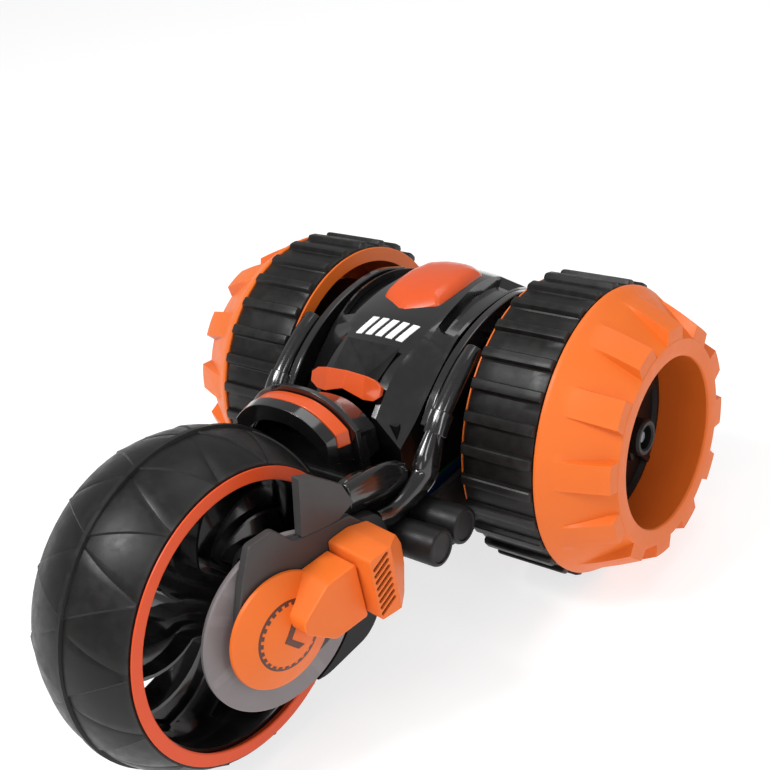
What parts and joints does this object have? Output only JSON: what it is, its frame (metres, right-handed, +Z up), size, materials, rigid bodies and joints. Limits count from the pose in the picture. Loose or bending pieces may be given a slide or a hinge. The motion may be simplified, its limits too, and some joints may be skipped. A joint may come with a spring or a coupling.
{
  "type": "rc stunt car",
  "caption": "Remote control stunt car with one wide front wheel in a fork and two bowl-shaped driven rear wheels.",
  "frame": {"origin": "on the ground, at the middle of the car's length and width", "axes": "+Z up, -Y towards the front of the car, +X towards the car's left side"},
  "size_m": [0.194, 0.2612, 0.1168],
  "materials": {
    "orange_plastic": "moulded orange ABS, satin gloss",
    "gloss_orange": "glossy red-orange ABS",
    "black_plastic": "glossy black ABS",
    "satin_black": "satin black ABS",
    "grey_plastic": "dark grey ABS, satin gloss",
    "tyre_rubber": "moulded soft black PVC, satin",
    "steel": "plain steel",
    "nylon": "natural nylon",
    "circuit_board": "green solder mask",
    "battery_wrap": "blue shrink wrap"
  },
  "bodies": {
    "chassis": {"battery_cover": "satin_black", "battery_pack": "battery_wrap", "beak_panel": "gloss_orange", "canopy": "gloss_orange", "circuit_board": "circuit_board", "cover_screw": "steel", "crescent_guard_left": "grey_plastic", "crescent_guard_right": "grey_plastic", "fork_arm_left": "satin_black", "fork_arm_right": "satin_black", "fork_cover_left": "grey_plastic", "fork_cover_right": "grey_plastic", "fork_shield_left": "grey_plastic", "fork_shield_right": "grey_plastic", "frame_tube_left": "black_plastic", "frame_tube_right": "black_plastic", "front_axle": "steel", "front_block_left": "orange_plastic", "front_block_right": "orange_plastic", "front_peg_left": "black_plastic", "front_peg_right": "black_plastic", "gear_case_left": "satin_black", "gear_case_right": "satin_black", "hub_disc_left": "orange_plastic", "hub_disc_right": "orange_plastic", "link_left": "black_plastic", "link_right": "black_plastic", "louvre_block_left": "orange_plastic", "louvre_block_right": "orange_plastic", "lower_chassis": "satin_black", "motor_left": "steel", "motor_right": "steel", "mudguard": "black_plastic", "mudguard_band": "gloss_orange", "rear_peg_left": "black_plastic", "rear_peg_right": "black_plastic", "side_band_left": "black_plastic", "side_band_right": "black_plastic", "upper_body": "black_plastic"},
    "front_wheel": {"front_tyre": "tyre_rubber", "front_rim": "black_plastic", "front_ring_left": "orange_plastic", "front_ring_right": "orange_plastic"},
    "power_switch": {"power_switch": "nylon"},
    "left_wheel": {"rear_tyre_left": "tyre_rubber", "wheel_bowl_left": "orange_plastic", "wheel_hub_left": "satin_black", "rear_shaft_left": "steel", "drive_gear_left": "nylon"},
    "left_idler": {"idler_gear_left": "nylon"},
    "left_pinion": {"motor_pinion_left": "nylon"},
    "right_wheel": {"rear_tyre_right": "tyre_rubber", "wheel_bowl_right": "orange_plastic", "wheel_hub_right": "satin_black", "rear_shaft_right": "steel", "drive_gear_right": "nylon"},
    "right_idler": {"idler_gear_right": "nylon"},
    "right_pinion": {"motor_pinion_right": "nylon"}
  },
  "joints": [
    {"name": "front_wheel_spin", "type": "hinge", "parent": "chassis", "child": "front_wheel", "pos_m": [0, -0.0722, 0.0584], "axis": [1, 0, 0], "continuous": true},
    {"name": "left_wheel_spin", "type": "hinge", "parent": "chassis", "child": "left_wheel", "pos_m": [0.07, 0.0746, 0.056], "axis": [1, 0, 0], "continuous": true},
    {"name": "left_idler_spin", "type": "hinge", "parent": "chassis", "child": "left_idler", "pos_m": [0.05, 0.05807, 0.04997], "axis": [1, 0, 0], "continuous": true},
    {"name": "left_pinion_spin", "type": "hinge", "parent": "chassis", "child": "left_pinion", "pos_m": [0.047, 0.06277, 0.06692], "axis": [1, 0, 0], "continuous": true},
    {"name": "right_wheel_spin", "type": "hinge", "parent": "chassis", "child": "right_wheel", "pos_m": [-0.07, 0.0746, 0.056], "axis": [1, 0, 0], "continuous": true},
    {"name": "right_idler_spin", "type": "hinge", "parent": "chassis", "child": "right_idler", "pos_m": [-0.05, 0.05807, 0.04997], "axis": [1, 0, 0], "continuous": true},
    {"name": "right_pinion_spin", "type": "hinge", "parent": "chassis", "child": "right_pinion", "pos_m": [-0.047, 0.06277, 0.06692], "axis": [1, 0, 0], "continuous": true},
    {"name": "power_switch_slide", "type": "slide", "parent": "chassis", "child": "power_switch", "axis": [1, 0, 0], "range_m": [0, 0.003]}
  ],
  "couplings": [
    {"joint": "left_idler_spin", "follows": "left_wheel_spin", "ratio": -2.6667},
    {"joint": "left_pinion_spin", "follows": "left_wheel_spin", "ratio": 7.1111},
    {"joint": "right_idler_spin", "follows": "right_wheel_spin", "ratio": -2.6667},
    {"joint": "right_pinion_spin", "follows": "right_wheel_spin", "ratio": 7.1111}
  ]
}
